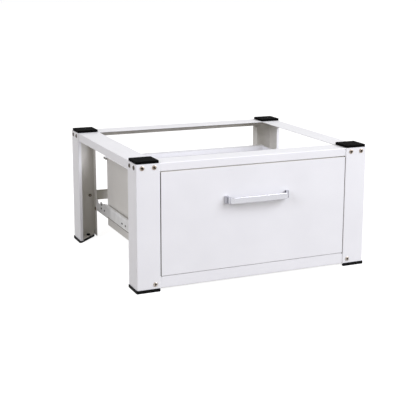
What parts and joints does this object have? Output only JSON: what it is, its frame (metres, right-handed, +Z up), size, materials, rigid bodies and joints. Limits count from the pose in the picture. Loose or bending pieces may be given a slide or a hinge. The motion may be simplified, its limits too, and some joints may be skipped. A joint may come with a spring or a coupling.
{
  "type": "washer pedestal drawer",
  "caption": "Low white steel stand for a washing machine, with rubber-padded corner posts and a pull-out storage drawer on telescopic ball slides.",
  "frame": {"origin": "on the floor, in the middle of the whole object with its handle", "axes": "+X to the right seen from the front, +Y to the back, +Z up; the drawer runs out along -Y"},
  "size_m": [0.63, 0.562, 0.32],
  "materials": {
    "white_powder_coat": "fine satin powder coat",
    "zinc_plated_steel": "zinc plated, dull",
    "ball_steel": "polished balls in a plated cage",
    "nickel_screws": "nickel plated",
    "chrome": "satin chrome",
    "rubber_pads": "matt black rubber",
    "plastic_feet": "black moulded plastic"
  },
  "bodies": {
    "frame": {"bottom_rail_front": "white_powder_coat", "crossbar_rear": "white_powder_coat", "foot_front_left": "plastic_feet", "foot_front_right": "plastic_feet", "foot_rear_left": "plastic_feet", "foot_rear_right": "plastic_feet", "pad_front_left": "rubber_pads", "pad_front_right": "rubber_pads", "pad_rear_left": "rubber_pads", "pad_rear_right": "rubber_pads", "post_front_left": "white_powder_coat", "post_front_right": "white_powder_coat", "post_rear_left": "white_powder_coat", "post_rear_right": "white_powder_coat", "screw_bottom_rail_left": "nickel_screws", "screw_bottom_rail_right": "nickel_screws", "screw_crossbar_left": "nickel_screws", "screw_crossbar_right": "nickel_screws", "screw_front_left_1": "nickel_screws", "screw_front_left_2": "nickel_screws", "screw_front_right_1": "nickel_screws", "screw_front_right_2": "nickel_screws", "screw_rear_left_1": "nickel_screws", "screw_rear_left_2": "nickel_screws", "screw_rear_right_1": "nickel_screws", "screw_rear_right_2": "nickel_screws", "screw_side_front_left_1": "nickel_screws", "screw_side_front_left_2": "nickel_screws", "screw_side_front_right_1": "nickel_screws", "screw_side_front_right_2": "nickel_screws", "screw_side_rear_left_1": "nickel_screws", "screw_side_rear_left_2": "nickel_screws", "screw_side_rear_right_1": "nickel_screws", "screw_side_rear_right_2": "nickel_screws", "screw_slide_front_left": "nickel_screws", "screw_slide_front_right": "nickel_screws", "screw_slide_rear_left": "nickel_screws", "screw_slide_rear_right": "nickel_screws", "slide_outer_left": "zinc_plated_steel", "slide_outer_right": "zinc_plated_steel", "top_rail_front": "white_powder_coat", "top_rail_left": "white_powder_coat", "top_rail_rear": "white_powder_coat", "top_rail_right": "white_powder_coat"},
    "drawer": {"drawer_front": "white_powder_coat", "drawer_tub": "white_powder_coat", "handle": "chrome", "screw_handle_left": "nickel_screws", "screw_handle_right": "nickel_screws", "slide_inner_left": "zinc_plated_steel", "slide_inner_right": "zinc_plated_steel"},
    "middle_slide_left": {"slide_middle_left": "zinc_plated_steel"},
    "outer_cage_left": {"ball_cage_outer_left": "ball_steel"},
    "inner_cage_left": {"ball_cage_inner_left": "ball_steel"},
    "middle_slide_right": {"slide_middle_right": "zinc_plated_steel"},
    "outer_cage_right": {"ball_cage_outer_right": "ball_steel"},
    "inner_cage_right": {"ball_cage_inner_right": "ball_steel"}
  },
  "joints": [
    {"name": "drawer_slide", "type": "slide", "parent": "frame", "child": "drawer", "axis": [0, -1, 0], "range_m": [0, 0.4]},
    {"name": "middle_slide_left_travel", "type": "slide", "parent": "frame", "child": "middle_slide_left", "axis": [0, -1, 0], "range_m": [0, 0.2]},
    {"name": "outer_cage_left_travel", "type": "slide", "parent": "frame", "child": "outer_cage_left", "axis": [0, -1, 0], "range_m": [0, 0.1]},
    {"name": "inner_cage_left_travel", "type": "slide", "parent": "frame", "child": "inner_cage_left", "axis": [0, -1, 0], "range_m": [0, 0.3]},
    {"name": "middle_slide_right_travel", "type": "slide", "parent": "frame", "child": "middle_slide_right", "axis": [0, -1, 0], "range_m": [0, 0.2]},
    {"name": "outer_cage_right_travel", "type": "slide", "parent": "frame", "child": "outer_cage_right", "axis": [0, -1, 0], "range_m": [0, 0.1]},
    {"name": "inner_cage_right_travel", "type": "slide", "parent": "frame", "child": "inner_cage_right", "axis": [0, -1, 0], "range_m": [0, 0.3]}
  ],
  "couplings": [
    {"joint": "middle_slide_left_travel", "follows": "drawer_slide", "ratio": 0.5},
    {"joint": "outer_cage_left_travel", "follows": "drawer_slide", "ratio": 0.25},
    {"joint": "inner_cage_left_travel", "follows": "drawer_slide", "ratio": 0.75},
    {"joint": "middle_slide_right_travel", "follows": "drawer_slide", "ratio": 0.5},
    {"joint": "outer_cage_right_travel", "follows": "drawer_slide", "ratio": 0.25},
    {"joint": "inner_cage_right_travel", "follows": "drawer_slide", "ratio": 0.75}
  ]
}
